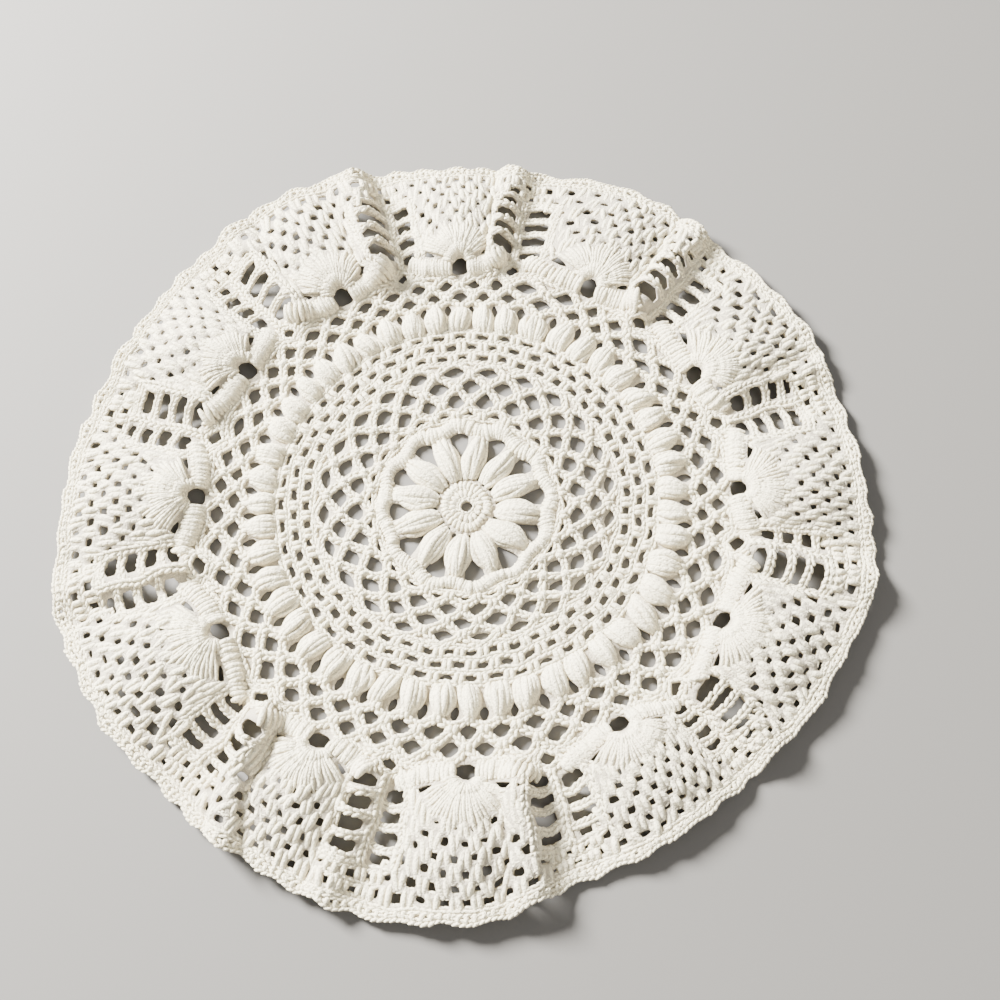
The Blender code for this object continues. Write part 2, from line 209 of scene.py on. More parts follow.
def underside(bearing, radius):
    """The cloth's underside at a point of the flat drawing, with the hand's unevenness, in millimetres."""
    place = plan(bearing, radius)

    def spot(length, layer):
        return Vector((place.x / length, place.y / length, layer))

    stray = (noise.noise_vector(spot(STRAY_NEAR_LENGTH, 3.1)) * STRAY_NEAR
             + noise.noise_vector(spot(STRAY_FAR_LENGTH, 7.7)) * STRAY_FAR)
    buckle = BUCKLE * max(0.0, noise.noise(spot(BUCKLE_LENGTH, 5.3))) * smooth(radius, PETAL_OUT, ROOT_R)
    return Vector((place.x + stray.x, place.y + stray.y, cloth_height(bearing, radius) + buckle))


def bed(bearing, radius):
    """The underside's place in millimetres and its upward normal."""
    radius = max(radius, 0.5)
    step = 0.4
    turn = degrees(step / radius)
    across = underside(bearing + turn, radius) - underside(bearing - turn, radius)
    out = underside(bearing, radius + step) - underside(bearing, radius - step)
    return underside(bearing, radius), across.cross(out).normalized()


def on_bed(bearing, radius, lift):
    """A place at a lift over the underside, in metres, and the cloth's normal there."""
    place, normal = bed(bearing, radius)
    return (place + normal * lift) * MM, normal


def aside(bearing, radius, sideways):
    """The bearing that lies some millimetres clockwise of another."""
    return bearing + degrees(sideways / radius)


def eased_path(places, steps):
    """A smooth curve through the places, with some steps between each two."""
    found = []
    for k in range(len(places) - 1):
        before, start = places[max(0, k - 1)], places[k]
        end, after = places[k + 1], places[min(len(places) - 1, k + 2)]
        for s in range(steps):
            t = s / steps
            row = []
            for a, b, c, d in zip(before, start, end, after):
                row.append(0.5 * (2 * b + (c - a) * t + (2 * a - 5 * b + 4 * c - d) * t ** 2
                                  + (3 * b - a - 3 * c + d) * t ** 3))
            found.append(tuple(row))
    return found + [tuple(places[-1])]


# ---- what each round is made of

CHAIN_LONG = 2.4           # from one chain stitch to the next, in millimetres
CHAIN_WIDE = 3.5
CHAIN_OVERLAP = 1.12       # length of a stitch to that distance
CHAIN_FLAT = 0.86          # its height to its width
NET_LIFT = 1.5             # height of a chain's middle over the underside


def chance(*seed):
    """An even, fixed chance value from -1 to 1 for up to three numbers."""
    a, b, c = (list(seed) + [0.37, 0.71, 0.13])[:3]
    return max(-1.0, min(1.0, 1.6 * noise.noise(Vector((a * 3.71 + 0.5, b * 5.13 + 0.5, c * 7.9)))))


class Stitches:
    """The stitches of one piece: chain stitches, and posts as short tapered strands."""

    def __init__(self, name):
        self.name = name
        self.chain_rows = []   # place, along, up, size
        self.post_rows = []    # one list of (place, thickness) for each post

    def chain(self, places, turn=0.0, wide=CHAIN_WIDE, lift=NET_LIFT, steps=6, long=CHAIN_LONG):
        """A chain through places of (bearing, radius) or (bearing, radius, extra lift), all turned."""
        drawn = [(p[0] + turn, p[1], p[2] if len(p) > 2 else 0.0) for p in places]
        path = eased_path(drawn, steps)
        spots = [underside(b, r) + Vector((0.0, 0.0, lift + extra)) for b, r, extra in path]
        reached = [0.0]
        for start, end in zip(spots, spots[1:]):
            reached.append(reached[-1] + (end - start).length)
        count = max(1, round(reached[-1] / long))
        step = reached[-1] / count
        k = 0
        for stitch in range(count):
            middle = (stitch + 0.5) * step
            while reached[k + 1] < middle:
                k += 1
            share = (middle - reached[k]) / (reached[k + 1] - reached[k])
            b, r, extra = (a + (c - a) * share for a, c in zip(path[k], path[k + 1]))
            place, up = on_bed(b, r, lift + extra)
            along = (spots[k + 1] - spots[k]).normalized()
            size = Vector((wide, step * CHAIN_OVERLAP, wide * CHAIN_FLAT)) * MM
            self.chain_rows.append((place, along, up, size))

    def ring(self, radius, points=72, wave=0.0, waves=0, **finish):
        """A closed chain ring, waving in and out of its radius."""
        turns = [360.0 * k / points for k in range(points + 1)]
        self.chain([(turn, radius + wave * cos(radians(turn * waves))) for turn in turns], steps=3, **finish)

    def post(self, rows):
        """A post through rows of (bearing, radius, lift, thickness)."""
        self.post_rows.append([(on_bed(b, r, lift)[0], thick * MM) for b, r, lift, thick in rows])

    def straight(self, start, end, thick, low=1.2, high=1.9, points=5, least=0.5):
        """A post between two (bearing, radius) places that bulges a little off the cloth."""
        rows = []
        for s in range(points):
            t = s / (points - 1)
            rows.append((start[0] + (end[0] - start[0]) * t, start[1] + (end[1] - start[1]) * t,
                         low + (high - low) * sin(pi * t), thick * round_ends(t, least)))
        self.post(rows)


def leaf(t, widest, foot, tip):
    """How far the strands of a cluster part at a share of its length."""
    if t < widest:
        return foot + (1.0 - foot) * sin(pi / 2 * t / widest)
    return tip + (1.0 - tip) * cos(pi / 2 * (t - widest) / (1.0 - widest))


def round_ends(t, least=0.5):
    """Thickness share along a post: full in the middle and round at both ends."""
    return least + (1.0 - least) * sin(pi * t) ** 0.5


def cluster(stitches, bearing, inner, outer, form, lean, seed):
    """A puffed cluster of strands that part from a common base, cross a little and close at the top."""
    points = 8
    strands = form["strands"]
    for k in range(strands):
        place = 2.0 * k / (strands - 1) - 1.0
        crossed = form["cross"] * chance(seed, k, 6.0)
        start = inner + 0.7 * chance(seed, k, 1.0)
        end = outer - form["round"] * place ** 2 + 0.6 * chance(seed, k, 2.0)
        stray = form["stray"] * chance(seed, k, 3.0)
        lift = 0.6 * chance(seed, k, 4.0)
        half = form["half"] * (1.0 + 0.15 * chance(seed, k, 5.0))
        rows = []
        for s in range(points):
            t = s / (points - 1)
            radius = start + (end - start) * t
            across = max(-1.0, min(1.0, place + crossed * (t - 0.5)))
            sideways = across * form["half_wide"] * leaf(t, form["widest"], form["foot"], form["tip"])
            sideways += lean * (t - 0.5) + stray * sin(pi * t)
            crown = (1.0 - 0.7 * across ** 2) * sin(pi * t) ** 0.6
            rows.append((aside(bearing, radius, sideways), radius,
                         form["low"] + (form["high"] - form["low"]) * crown + lift * sin(pi * t),
                         half * round_ends(t, form["least"])))
        stitches.post(rows)


def covered_band(stitches, places, half_wide, thick, pitch, low, high):
    """Short posts side by side across a path, as stitches worked over a chain."""
    path = eased_path(places, 6)
    reached = 0.0
    for (b0, r0), (b1, r1) in zip(path, path[1:]):
        sideways, out = radians(b1 - b0) * r0, r1 - r0
        length = hypot(sideways, out)
        while reached < length:
            t = reached / length
            b, r = b0 + (b1 - b0) * t, r0 + (r1 - r0) * t
            across = Vector((-out, sideways)) / length * (half_wide + 0.35 * chance(b, r, 1.0))
            tilt = 0.6 * chance(b, r, 2.0)
            start = (aside(b, r, -across.x - tilt), r - across.y)
            end = (aside(b, r, across.x + tilt), r + across.y)
            half = thick * (1.0 + 0.2 * chance(b, r, 4.0))
            stitches.straight(start, end, half, low, high + 0.3 * chance(b, r, 6.0))
            reached += pitch
        reached -= length


def arch(inner, outer, top, pitch, k):
    """A chain arch from one foot on the inner radius over the outer radius to the next foot."""
    shoulder = inner + (outer - inner) * (0.62 + 0.08 * chance(k, inner))
    before, middle, after, rise = (chance(k, inner, seed) for seed in (2.0, 4.0, 6.0, 8.0))
    return [(top - pitch / 2, inner - 0.3),
            (aside(top - pitch * 0.29, shoulder, 0.6 * before), shoulder + 0.3 * rise),
            (aside(top, outer, 0.6 * middle), outer + 0.3 + 0.4 * rise),
            (aside(top + pitch * 0.29, shoulder, 0.6 * after), shoulder - 0.3 * rise),
            (top + pitch / 2, inner - 0.3)]


def knot(stitches, bearing, radius, half):
    """The pair of short stitches that fastens an arch to the round before."""
    for side in (-1, 1):
        foot = (aside(bearing, radius, side), radius - 1.7)
        head = (aside(bearing, radius, side * 0.8), radius + 1.7)
        stitches.straight(foot, head, half, 1.4, 2.3, points=4)


PETAL, PUFF = table(
    "strands half_wide half low high widest foot tip round least stray cross",
    (9, 4.2, 1.4, 1.5, 4.1, 0.6, 0.4, 0.62, 2.6, 0.6, 0.8, 0.9),
    (8, 3.9, 1.4, 1.5, 4.0, 0.5, 0.8, 0.64, 2.2, 0.6, 0.7, 0.6),
)


# The two rounds of posts in the disc
DISC_ROUNDS = table(
    "posts foot head turn stray seed uneven low",
    (18, 3.7, 7.2, 5.0, 2.0, 8.1, 0.0, 1.6),
    (32, 6.5, 10.3, 3.0, 1.5, 8.4, 0.3, 1.5),
)


def flower(stitches):
    """The eye, the disc, the twelve petals and the ring of covered chains."""
    stitches.ring(3.2, points=12, wide=2.3, lift=1.9, long=1.8)
    for row in DISC_ROUNDS:
        for k in range(row["posts"]):
            bearing = 360.0 * k / row["posts"] + row["stray"] * chance(k, row["seed"])
            head = (bearing + row["turn"], row["head"] + row["uneven"] * chance(k, 3.3))
            stitches.straight((bearing, row["foot"]), head, 1.1, row["low"], row["low"] + 0.4)
    for k in range(FANS):
        bearing = PETAL_START + SECTOR * k + 1.4 * chance(k, 2.2)
        cluster(stitches, bearing, 12.0, 30.4 + 0.5 * chance(k, 5.0), PETAL, 1.8 * chance(k, 1.3), k)
    places = [(7.5 * k, COVERED_RING + 1.2 * cos(radians((7.5 * k - PETAL_START - 15.0) * FANS)))
              for k in range(49)]
    covered_band(stitches, places, 2.8, 1.35, 1.4, 1.3, 2.1)
    stitches.ring(37.6, wide=2.8)


# The rounds of chain arches: radii of their feet and tops, and the bearing of the first top
INNER_ARCHES = table(
    "feet tops first",
    (38.9, 41.9, 3.75),
    (43.9, 49.3, 11.25),
    (50.1, 55.5, 3.75),
    (56.2, 60.6, 11.25),
)
OUTER_ARCHES = table(
    "feet tops first",
    (89.4, 92.2, 3.75),
    (93.6, 98.6, 0.0),
    (99.8, 105.2, 3.75),
)


def net(stitches, rounds, count, wide, half):
    """Rounds of chain arches, each fastened to the tops of the round before."""
    pitch = 360.0 / count
    for row in rounds:
        for k in range(count):
            top = row["first"] + k * pitch
            stitches.chain(arch(row["feet"], row["tops"], top, pitch, k), wide=wide)
            knot(stitches, top + pitch / 2, row["feet"], half)


def open_net(stitches):
    """The chain loops between the covered ring and the close mesh."""
    net(stitches, INNER_ARCHES, 24, 3.5, 1.15)


def close_mesh(stitches):
    """Three rounds of close mesh with the chains between them."""
    for radius in (61.4, 66.5, 71.7, 76.6):
        stitches.ring(radius, wide=3.0, wave=0.35, waves=24)
    for row, radius in enumerate(CLOSE_ROWS):
        for k in range(PUFFS):
            bearing = PUFF_PITCH * (k + (0.5 if row % 2 == 0 else 0.0))
            for sideways in (-1.15, 1.15):
                b = aside(bearing, radius, sideways + 0.3 * chance(k, row, sideways))
                lean = 0.5 * chance(k, row)
                stitches.straight((b - lean, radius - 2.6), (b + lean, radius + 2.6), 1.2, 1.3, 1.8)


def puffs(stitches):
    """The round of forty-eight puffs."""
    for k in range(PUFFS):
        lean = 3.6 * chance(k, 9.1)
        tall = 1.0 * chance(k, 4.4)
        cluster(stitches, PUFF_PITCH * k + 0.5 * chance(k, 3.3), 77.0, 89.6 + tall, PUFF, lean, 50 + k)


def outer_net(stitches):
    """The rounds of loops between the puffs and the fans."""
    net(stitches, OUTER_ARCHES, PUFFS, 3.8, 1.25)


# The lines between a fan's rows of mesh: radius in the middle, and how much nearer it is at SIDE degrees
HOLE_PITCH = 2.9           # degrees from one hole to the next
SIDE = 9.0
FAN_LINES = table(
    "radius sag",
    (126.4, 11.5),
    (131.2, 8.6),
    (136.1, 6.4),
    (141.1, 4.6),
    (146.1, 2.8),
    (150.9, 1.2),
    (155.6, 0.4),
)
# The rows between those lines: holes, how open they are, and degrees from the middle that the row reaches
FAN_ROWS = table(
    "holes open reach",
    (4, 0.6, 8.6),
    (5, 0.85, 8.8),
    (6, 1.0, 9.0),
    (7, 1.0, 10.4),
    (8, 1.0, 11.8),
    (9, 1.0, 13.2),
)


def line_radius(number, turn):
    """Radius of a fan's line some degrees from the fan's middle."""
    line = FAN_LINES[number]
    return line["radius"] - line["sag"] * (turn / SIDE) ** 2


def row_holes(row):
    """Degrees from the fan's middle at which a row's holes lie."""
    return [HOLE_PITCH * (k - (row["holes"] - 1) / 2) for k in range(row["holes"])]


# The posts round a fan's root: distances from SHELL_R, how many and degrees apart, half thickness at
# the start and at the end, height of their middle over the ends, and how uneven their ends are
SHELL_R = 110.8
SHELLS = table(
    "start end posts apart from to crown stray",
    (2.6, 8.0, 15, 10.5, 0.8, 1.2, 0.7, 0.9),
    (3.6, 18.2, 26, 5.1, 0.55, 1.05, 0.9, 2.6),
)


def fan(stitches, bearing, number):
    """A fan's posts round its root, then its mesh."""
    for shell in SHELLS:
        for k in range(shell["posts"]):
            turn = shell["apart"] * (k - (shell["posts"] - 1) / 2) + 1.3 * chance(k, number, shell["start"])
            bend = 2.2 * chance(k, number, 5.5)
            end = shell["end"] + shell["stray"] * chance(k, number, shell["end"])
            half = 1.0 + 0.2 * chance(k, number, 2.5)
            rows = []
            for s in range(6):
                t = s / 5
                far = shell["start"] + (end - shell["start"]) * t
                angle = radians(turn + bend * sin(tau * t))
                radius = SHELL_R + far * cos(angle)
                thick = half * (shell["from"] + (shell["to"] - shell["from"]) * t) * round_ends(t)
                rows.append((aside(bearing, radius, far * sin(angle)), radius,
                             1.4 + shell["crown"] * sin(pi * t), thick))
            stitches.post(rows)
    for line in range(len(FAN_LINES)):
        side = FAN_ROWS[max(0, line - 1)]["reach"] + 0.4
        path = [(side * s / 4.0, line_radius(line, side * s / 4.0)) for s in range(-4, 5)]
        stitches.chain(path, bearing, wide=2.8, lift=NET_LIFT - 0.3)
    for place, row in enumerate(FAN_ROWS):
        holes = row_holes(row)
        columns = int(row["reach"] / (HOLE_PITCH / 3))
        first = 0.0 if row["holes"] % 2 else HOLE_PITCH / 6
        for column in range(-columns - 1, columns + 2):
            turn = first + column * HOLE_PITCH / 3
            if abs(turn) > row["reach"] or any(abs(turn - hole) < 0.5 for hole in holes):
                continue
            near = min(holes, key=lambda hole: abs(turn - hole))
            if abs(turn - near) < 1.2:
                turn += 0.08 * (turn - near)
            turn += 0.16 * chance(column, number, place)
            lean = 0.55 * chance(column, number, place + 9.0)
            short, long = (0.8 * chance(column, number, place + seed) for seed in (4.4, 5.4))
            start = (bearing + turn - lean, line_radius(place, turn - lean) - 0.7 + short)
            end = (bearing + turn + lean, line_radius(place + 1, turn + lean) + 0.7 + long)
            half = 1.3 * (1.0 + 0.2 * chance(column, number, place + 3.0))
            high = 1.5 + 0.5 * chance(column, number, place + 6.0)
            stitches.straight(start, end, half, 1.1, high, least=0.78)


def arms(stitches, bearing):
    """The two padded arms that run from a root along the foot of its fan."""
    path = [(2.4, 108.8), (5.0, 109.3), (7.6, 110.4), (9.8, 111.9), (11.8, 113.8)]
    for hand in (1, -1):
        covered_band(stitches, [(hand * b + bearing, r) for b, r in path], 3.6, 1.4, 1.45, 1.6, 2.3)


def side_chains(stitches, bearing, places, wide=3.6):
    """The same chain at both sides of a bearing."""
    for hand in (1, -1):
        stitches.chain([(hand * b, r) for b, r in places], bearing, wide=wide)


def ladder(stitches, bearing):
    """The open rungs between two fans, with a strand in their middle and one at each side."""
    stitches.chain([(0.0, 112.5, 0.3), (0.3, 121.0, 0.3), (-0.3, 129.0, 0.3), (0.2, 137.0, 0.3),
                    (0.0, 144.0, 0.3)], bearing, wide=4.0)
    side_chains(stitches, bearing, [(5.2, 113.5), (5.9, 121.0), (5.7, 129.0), (5.9, 137.0), (5.6, 144.0)])
    for side, radii in ((-1, (123.1, 130.8, 138.1)), (1, (120.4, 128.0, 135.5, 142.6, 144.6))):
        for radius in radii:
            rung = [(side * 0.3, radius - 0.6), (side * 3.2, radius + 0.5), (side * 5.8, radius - 0.7)]
            stitches.chain(rung, bearing)


# The small net outside a ladder: rows of holes
WEDGE_ROWS = table(
    "radius turns reach",
    (147.0, (-1.93, 0.97), 4.3),
    (152.2, (0.0,), 3.0),
)


def ladder_foot(stitches, bearing):
    """The stitches round the gap at a ladder's foot, between the arms of its two fans."""
    round_gap = [(0.0, 103.9), (1.8, 106.0), (2.5, 108.2), (1.6, 110.8), (0.0, 112.4)]
    side_chains(stitches, bearing, round_gap, wide=3.7)
    side_chains(stitches, bearing, [(0.8, 105.2), (3.6, 106.9), (7.0, 106.6), (10.4, 105.6)])
    side_chains(stitches, bearing, [(2.2, 108.4), (2.9, 110.9), (2.2, 113.4)])


def wedge(stitches, bearing):
    """The small net between the ladder and the rim."""
    for radius, half_turn in ((144.3, 5.0), (149.7, 3.6), (154.8, 2.6)):
        line = [(-half_turn, radius), (0.0, radius + 0.4), (half_turn, radius)]
        stitches.chain(line, bearing, wide=3.2)
    for row in WEDGE_ROWS:
        for column in range(-4, 5):
            turn = column * HOLE_PITCH / 3
            if abs(turn) < row["reach"] and all(abs(turn - hole) > 0.5 for hole in row["turns"]):
                foot, head = ((bearing + turn, row["radius"] + out) for out in (-2.6, 2.6))
                stitches.straight(foot, head, 1.3, 1.3, 1.9)


def fans(stitches):
    for k in range(FANS):
        fan(stitches, SECTOR * k, k)


def ladders(stitches):
    for k in range(FANS):
        arms(stitches, SECTOR * k)
        for work in (ladder_foot, ladder, wedge):
            work(stitches, SECTOR * (k + 0.5))


def rim(stitches):
    """The last rounds: two chains with short stitches between them, in small scallops."""
    scallops = 64
    stitches.ring(RIM_R - 3.2, points=240, wide=3.0)
    stitches.ring(RIM_R - 0.4, points=384, wave=0.7, waves=scallops, wide=3.1, long=2.2)
    beads = 330
    for k in range(beads):
        bearing = 360.0 * k / beads
        out = RIM_R - 0.4 + 0.7 * cos(radians(bearing * scallops))
        stitches.straight((bearing, out - 3.0), (bearing, out + 0.4), 1.15, 1.2, 1.7, points=4)


# ---- the ground sheet and its gaps

DIAMOND = ((0, -1), (1, 0), (0, 1), (-1, 0))
SLOT = ((-1, -1), (1, -1), (1, 1), (-1, 1))


def gap(corners, bearing, radius, half_wide, half_high):
    """A loop with the corners of a diamond or a slot."""
    turn = degrees(half_wide / radius)
    return [(bearing + x * turn, radius + y * half_high) for x, y in corners]


def rounded(loop):
    """A loop of places with its corners cut."""
    cut = []
    for (b0, r0), (b1, r1) in zip(loop, loop[1:] + loop[:1]):
        cut += [(b0 + share * (b1 - b0), r0 + share * (r1 - r0)) for share in (0.24, 0.76)]
    return cut


# The even rounds of gaps in the ground: half sizes in millimetres
ROUNDS = table(
    "radius count first half_wide half_high",
    (39.4, 24, 3.75, 2.5, 1.5),
    (45.0, 24, 11.25, 4.9, 3.8),
    (51.4, 24, 3.75, 5.4, 3.6),
    (57.4, 24, 11.25, 5.3, 3.0),
    (CLOSE_ROWS[0], 48, 0.0, 2.7, 2.1),
    (CLOSE_ROWS[1], 48, 3.75, 2.8, 2.1),
    (CLOSE_ROWS[2], 48, 0.0, 3.0, 2.1),
    (87.8, PUFFS, 3.75, 2.1, 3.7),
    (94.1, PUFFS, 0.0, 4.5, 3.6),
    (100.8, PUFFS, 3.75, 4.8, 3.5),
)
LADDER = table(
    "turn radius half_wide half_high",
    (3.2, 116.6, 4.2, 2.2),
    (-3.2, 119.2, 4.3, 2.7),
    (3.2, 124.2, 4.6, 2.8),
    (-3.2, 127.0, 4.6, 2.8),
    (3.2, 131.8, 4.6, 2.7),
    (-3.2, 134.6, 4.6, 2.7),
    (3.2, 139.2, 4.4, 2.6),
    (-3.1, 141.2, 4.1, 1.8),
)


def hand_cut(loop, seed, amount):
    """A loop whose corners stray a little, as in handwork."""
    return [(aside(b, r, amount * chance(seed, k)), r + amount * chance(k, seed, 3.0))
            for k, (b, r) in enumerate(loop)]


def askew(loop, turn):
    """A loop turned about its own middle by some degrees."""
    middle_b = sum(place[0] for place in loop) / len(loop)
    middle_r = sum(place[1] for place in loop) / len(loop)
    along, aslant = cos(radians(turn)), sin(radians(turn))
    made = []
    for bearing, radius in loop:
        across, out = radians(bearing - middle_b) * middle_r, radius - middle_r
        moved = aside(middle_b, middle_r, across * along + out * aslant)
        made.append((moved, middle_r + out * along - across * aslant))
    return made


def ground_gaps():
    """Every gap of the ground, as loops of (bearing, radius)."""
    found = [[(45.0 * k, EYE_R) for k in range(8)]]

    def cut(loop, seed=0, amount=0.0):
        found.append(rounded(hand_cut(loop, seed, amount)))

    for k in range(FANS):
        between = PETAL_START + SECTOR * (k + 0.5)
        petal_gap = [(between, 18.2), (between + 8.8, 29.9), (between + 3.0, 31.8), (between - 3.0, 31.8),
                     (between - 8.8, 29.9)]
        cut(petal_gap, k, 0.35)
        cut(gap(DIAMOND, between, 12.6, 1.2, 1.3))
        cut(gap(DIAMOND, PETAL_START + SECTOR * k, 11.6, 0.9, 0.7))
    for number, row in enumerate(ROUNDS):
        for k in range(row["count"]):
            bearing = row["first"] + 360.0 * k / row["count"]
            loop = gap(DIAMOND, bearing, row["radius"], row["half_wide"], row["half_high"])
            cut(loop, k + 61 * number, 0.5)
    for k in range(FANS):
        root, middle = SECTOR * k, SECTOR * (k + 0.5)
        eye = [(root - 1.6, ROOT_R - 3.6), (root + 1.6, ROOT_R - 3.6), (root + 2.2, ROOT_R + 0.6),
               (root, ROOT_R + 3.4), (root - 2.2, ROOT_R + 0.6)]
        cut(eye, k, 0.35)
        cut(gap(DIAMOND, middle, 108.0, 4.0, 3.6))
        for number, row in enumerate(LADDER):
            loop = gap(SLOT, middle + row["turn"], row["radius"], row["half_wide"], row["half_high"])
            cut(loop, k + 17 * number, 0.25)
        for turn in (-7.5, 7.5):
            cut(gap(DIAMOND, root + turn, 105.6, 3.2, 1.0))
        for side in (-1, 1):
            slit = [(root + side * 5.2, 113.9), (root + side * 7.0, 114.5), (root + side * 9.4, 117.6),
                    (root + side * 8.6, 118.4), (root + side * 6.4, 116.3)]
            cut(slit)
        for number, row in enumerate(FAN_ROWS):
            amount = SECTORS[k]["open"] * row["open"]
            for place, turn in enumerate(row_holes(row)):
                radius = (line_radius(number, turn) + line_radius(number + 1, turn)) / 2
                seed = 40 * number + place + 7 * k
                wide = 1.5 * amount * (1 + 0.4 * chance(seed, 1))
                high = 1.55 * amount * (1 + 0.45 * chance(seed, 2))
                loop = askew(gap(SLOT, root + turn, radius, wide, high), 28.0 * chance(seed, 4))
                cut(loop, seed, 0.45)
        for row in WEDGE_ROWS:
            for turn in row["turns"]:
                cut(gap(SLOT, middle + turn, row["radius"], 2.3, 1.8), turn + k, 0.35)
    return found


def ground_rim():
    scallops = 120
    return [(turn, RIM_R - 1.4 + 0.9 * cos(radians(turn * scallops))) for turn in range(360)]


# The ground fills the petals and puffs from below: their radii and pitch, and each mound's size
MOUNDS = table(
    "inner outer first pitch middle half_long half_wide high",
    (PETAL_IN, PETAL_OUT, PETAL_START, SECTOR, 22.5, 8.5, 0.36, 1.6),
    (PUFF_IN, PUFF_OUT, 0.0, PUFF_PITCH, 82.5, 5.8, 0.42, 1.8),
)
FILL_EDGE = 8.0


def ground_lift(bearing, radius):
    """Height of the ground's middle over the underside."""
    if radius > ROOT_R:
        fill = smooth(radius, ROOT_R, ROOT_R + FILL_EDGE) * (1.0 - smooth(radius, RIM_R - FILL_EDGE, RIM_R))
        return GROUND_LIFT + MESH_FILL * fill
    for row in MOUNDS:
        if row["inner"] < radius < row["outer"]:
            across = (((bearing - row["first"]) / row["pitch"] + 0.5) % 1.0 - 0.5) / row["half_wide"]
            along = (radius - row["middle"]) / row["half_long"]
            return GROUND_LIFT + row["high"] * max(0.0, 1.0 - across ** 2) * max(0.0, 1.0 - along ** 2)
    return GROUND_LIFT


def near_gap(point, gap_grid, cell, margin):
    """Whether a point lies in a gap or within a margin of its sides."""
    for corners, middle, reach in gap_grid.get((int(point.x // cell), int(point.y // cell)), ()):
        if (point - middle).length > reach + margin:
            continue
        for start, end in zip(corners, corners[1:] + corners[:1]):
            side = (end - start).normalized()
            away = Vector((side.y, -side.x))
            if (middle - start).dot(away) > 0:
                away.negate()
            if (point - start).dot(away) > margin:
                break
        else:
            return True
    return False


def ground_points(loops):
    """Points that carry the ground between its gaps, ring by ring."""
    cell, margin, apart = 12.0, 0.7, 2.3
    gap_grid = {}
    for loop in loops:
        corners = [flat_point(*place) for place in loop]
        middle = sum(corners, Vector((0.0, 0.0))) / len(corners)
        reach = max((corner - middle).length for corner in corners)
        entry = (corners, middle, reach)
        for i in (-1, 0, 1):
            for j in (-1, 0, 1):
                key = (int(middle.x // cell) + i, int(middle.y // cell) + j)
                gap_grid.setdefault(key, []).append(entry)
    found = []
    rings = int((RIM_R - 4.0 - EYE_R) / apart)
    for ring in range(1, rings + 1):
        radius = EYE_R + ring * apart
        count = max(6, round(tau * radius / apart))
        for k in range(count):
            bearing = 360.0 * (k + (0.5 if ring % 2 else 0.0)) / count
            if not near_gap(flat_point(bearing, radius), gap_grid, cell, margin):
                found.append((bearing, radius))
    return found


def ground_sheet(material):
    """The thin ground of the lace, with all its gaps, as one closed sheet."""
    gaps = ground_gaps()
    places, owners, edges = [], [], []
    for owner, loop in enumerate([ground_rim()] + gaps):
        start = len(places)
        places += loop
        owners += [owner] * len(loop)
        edges += [(start + k, start + (k + 1) % len(loop)) for k in range(len(loop))]
    inside = ground_points(gaps)
    places += inside
    owners += [-1] * len(inside)
    flat = [flat_point(*place) for place in places]
    points, _, triangles, sources, _, _ = delaunay_2d_cdt(flat, edges, [], 1, 1e-4)
    if len(points) != len(places):
        raise ValueError("two gaps of the ground cross")
    order = [source[0] for source in sources]
    kept = []
    for triangle in triangles:
        of_loops = {owners[order[corner]] for corner in triangle}
        if len(of_loops) > 1 or min(of_loops) < 1:
            kept.append(triangle)
    bm = bmesh.new()
    under, over = [], []
    for index in order:
        bearing, radius = places[index]
        place, normal = bed(bearing, radius)
        lift = ground_lift(bearing, radius)
        under.append(bm.verts.new((place + normal * (lift - GROUND_T / 2)) * MM))
        over.append(bm.verts.new((place + normal * (lift + GROUND_T / 2)) * MM))
    sides = {}
    for a, b, c in kept:
        bm.faces.new((under[c], under[b], under[a]))
        bm.faces.new((over[a], over[b], over[c]))
        for start, end in ((a, b), (b, c), (c, a)):
            if not sides.pop((end, start), False):
                sides[(start, end)] = True
    for start, end in sides:
        bm.faces.new((under[start], under[end], over[end], over[start]))
    mesh = drawn_mesh("doily_ground", bm)
    mesh.shade_smooth()
    mesh.materials.append(material)
    return in_scene("doily_ground", mesh)


# ---- stitches from Geometry Nodes

GEOMETRY = ("Geometry", "Geometry", None)


def new_tree(kind, name, inputs, outputs):
    """A node tree with sockets of (name, type, value), and what its input node gives."""
    tree = bpy.data.node_groups.new(name, kind)
    for in_out, sockets in (("INPUT", inputs), ("OUTPUT", outputs)):
        for label, socket_type, value in sockets:
            socket = tree.interface.new_socket(label, in_out=in_out, socket_type="NodeSocket" + socket_type)
            if value is not None:
                socket.default_value = value
    return tree, add_node(tree, "NodeGroupInput").outputs


def add_node(tree, kind, inputs=None, **settings):
    """A node with its settings made and each input set to a value or linked to an output."""
    node = tree.nodes.new(kind)
    for name, value in settings.items():
        setattr(node, name, value)
    for label, value in (inputs or {}).items():
        if isinstance(value, bpy.types.NodeSocket):
            tree.links.new(value, node.inputs[label])
        else:
            node.inputs[label].default_value = value
    return node


def named_attribute(tree, name, data_type):
    node = add_node(tree, "GeometryNodeInputNamedAttribute", {"Name": name}, data_type=data_type)
    return node.outputs["Attribute"]


def stored(tree, geometry, name, value, data_type, domain):
    """The geometry with a value stored on it under a name."""
    given = {"Name": name, "Geometry": geometry, "Value": value}
    kept = add_node(tree, "GeometryNodeStoreNamedAttribute", given, data_type=data_type, domain=domain)
    return kept.outputs["Geometry"]


def chance_tone(tree, seed):
    """A chance value from 0 to 1 for each stitch."""
    return add_node(tree, "FunctionNodeRandomValue", {"Seed": seed}).outputs[1]


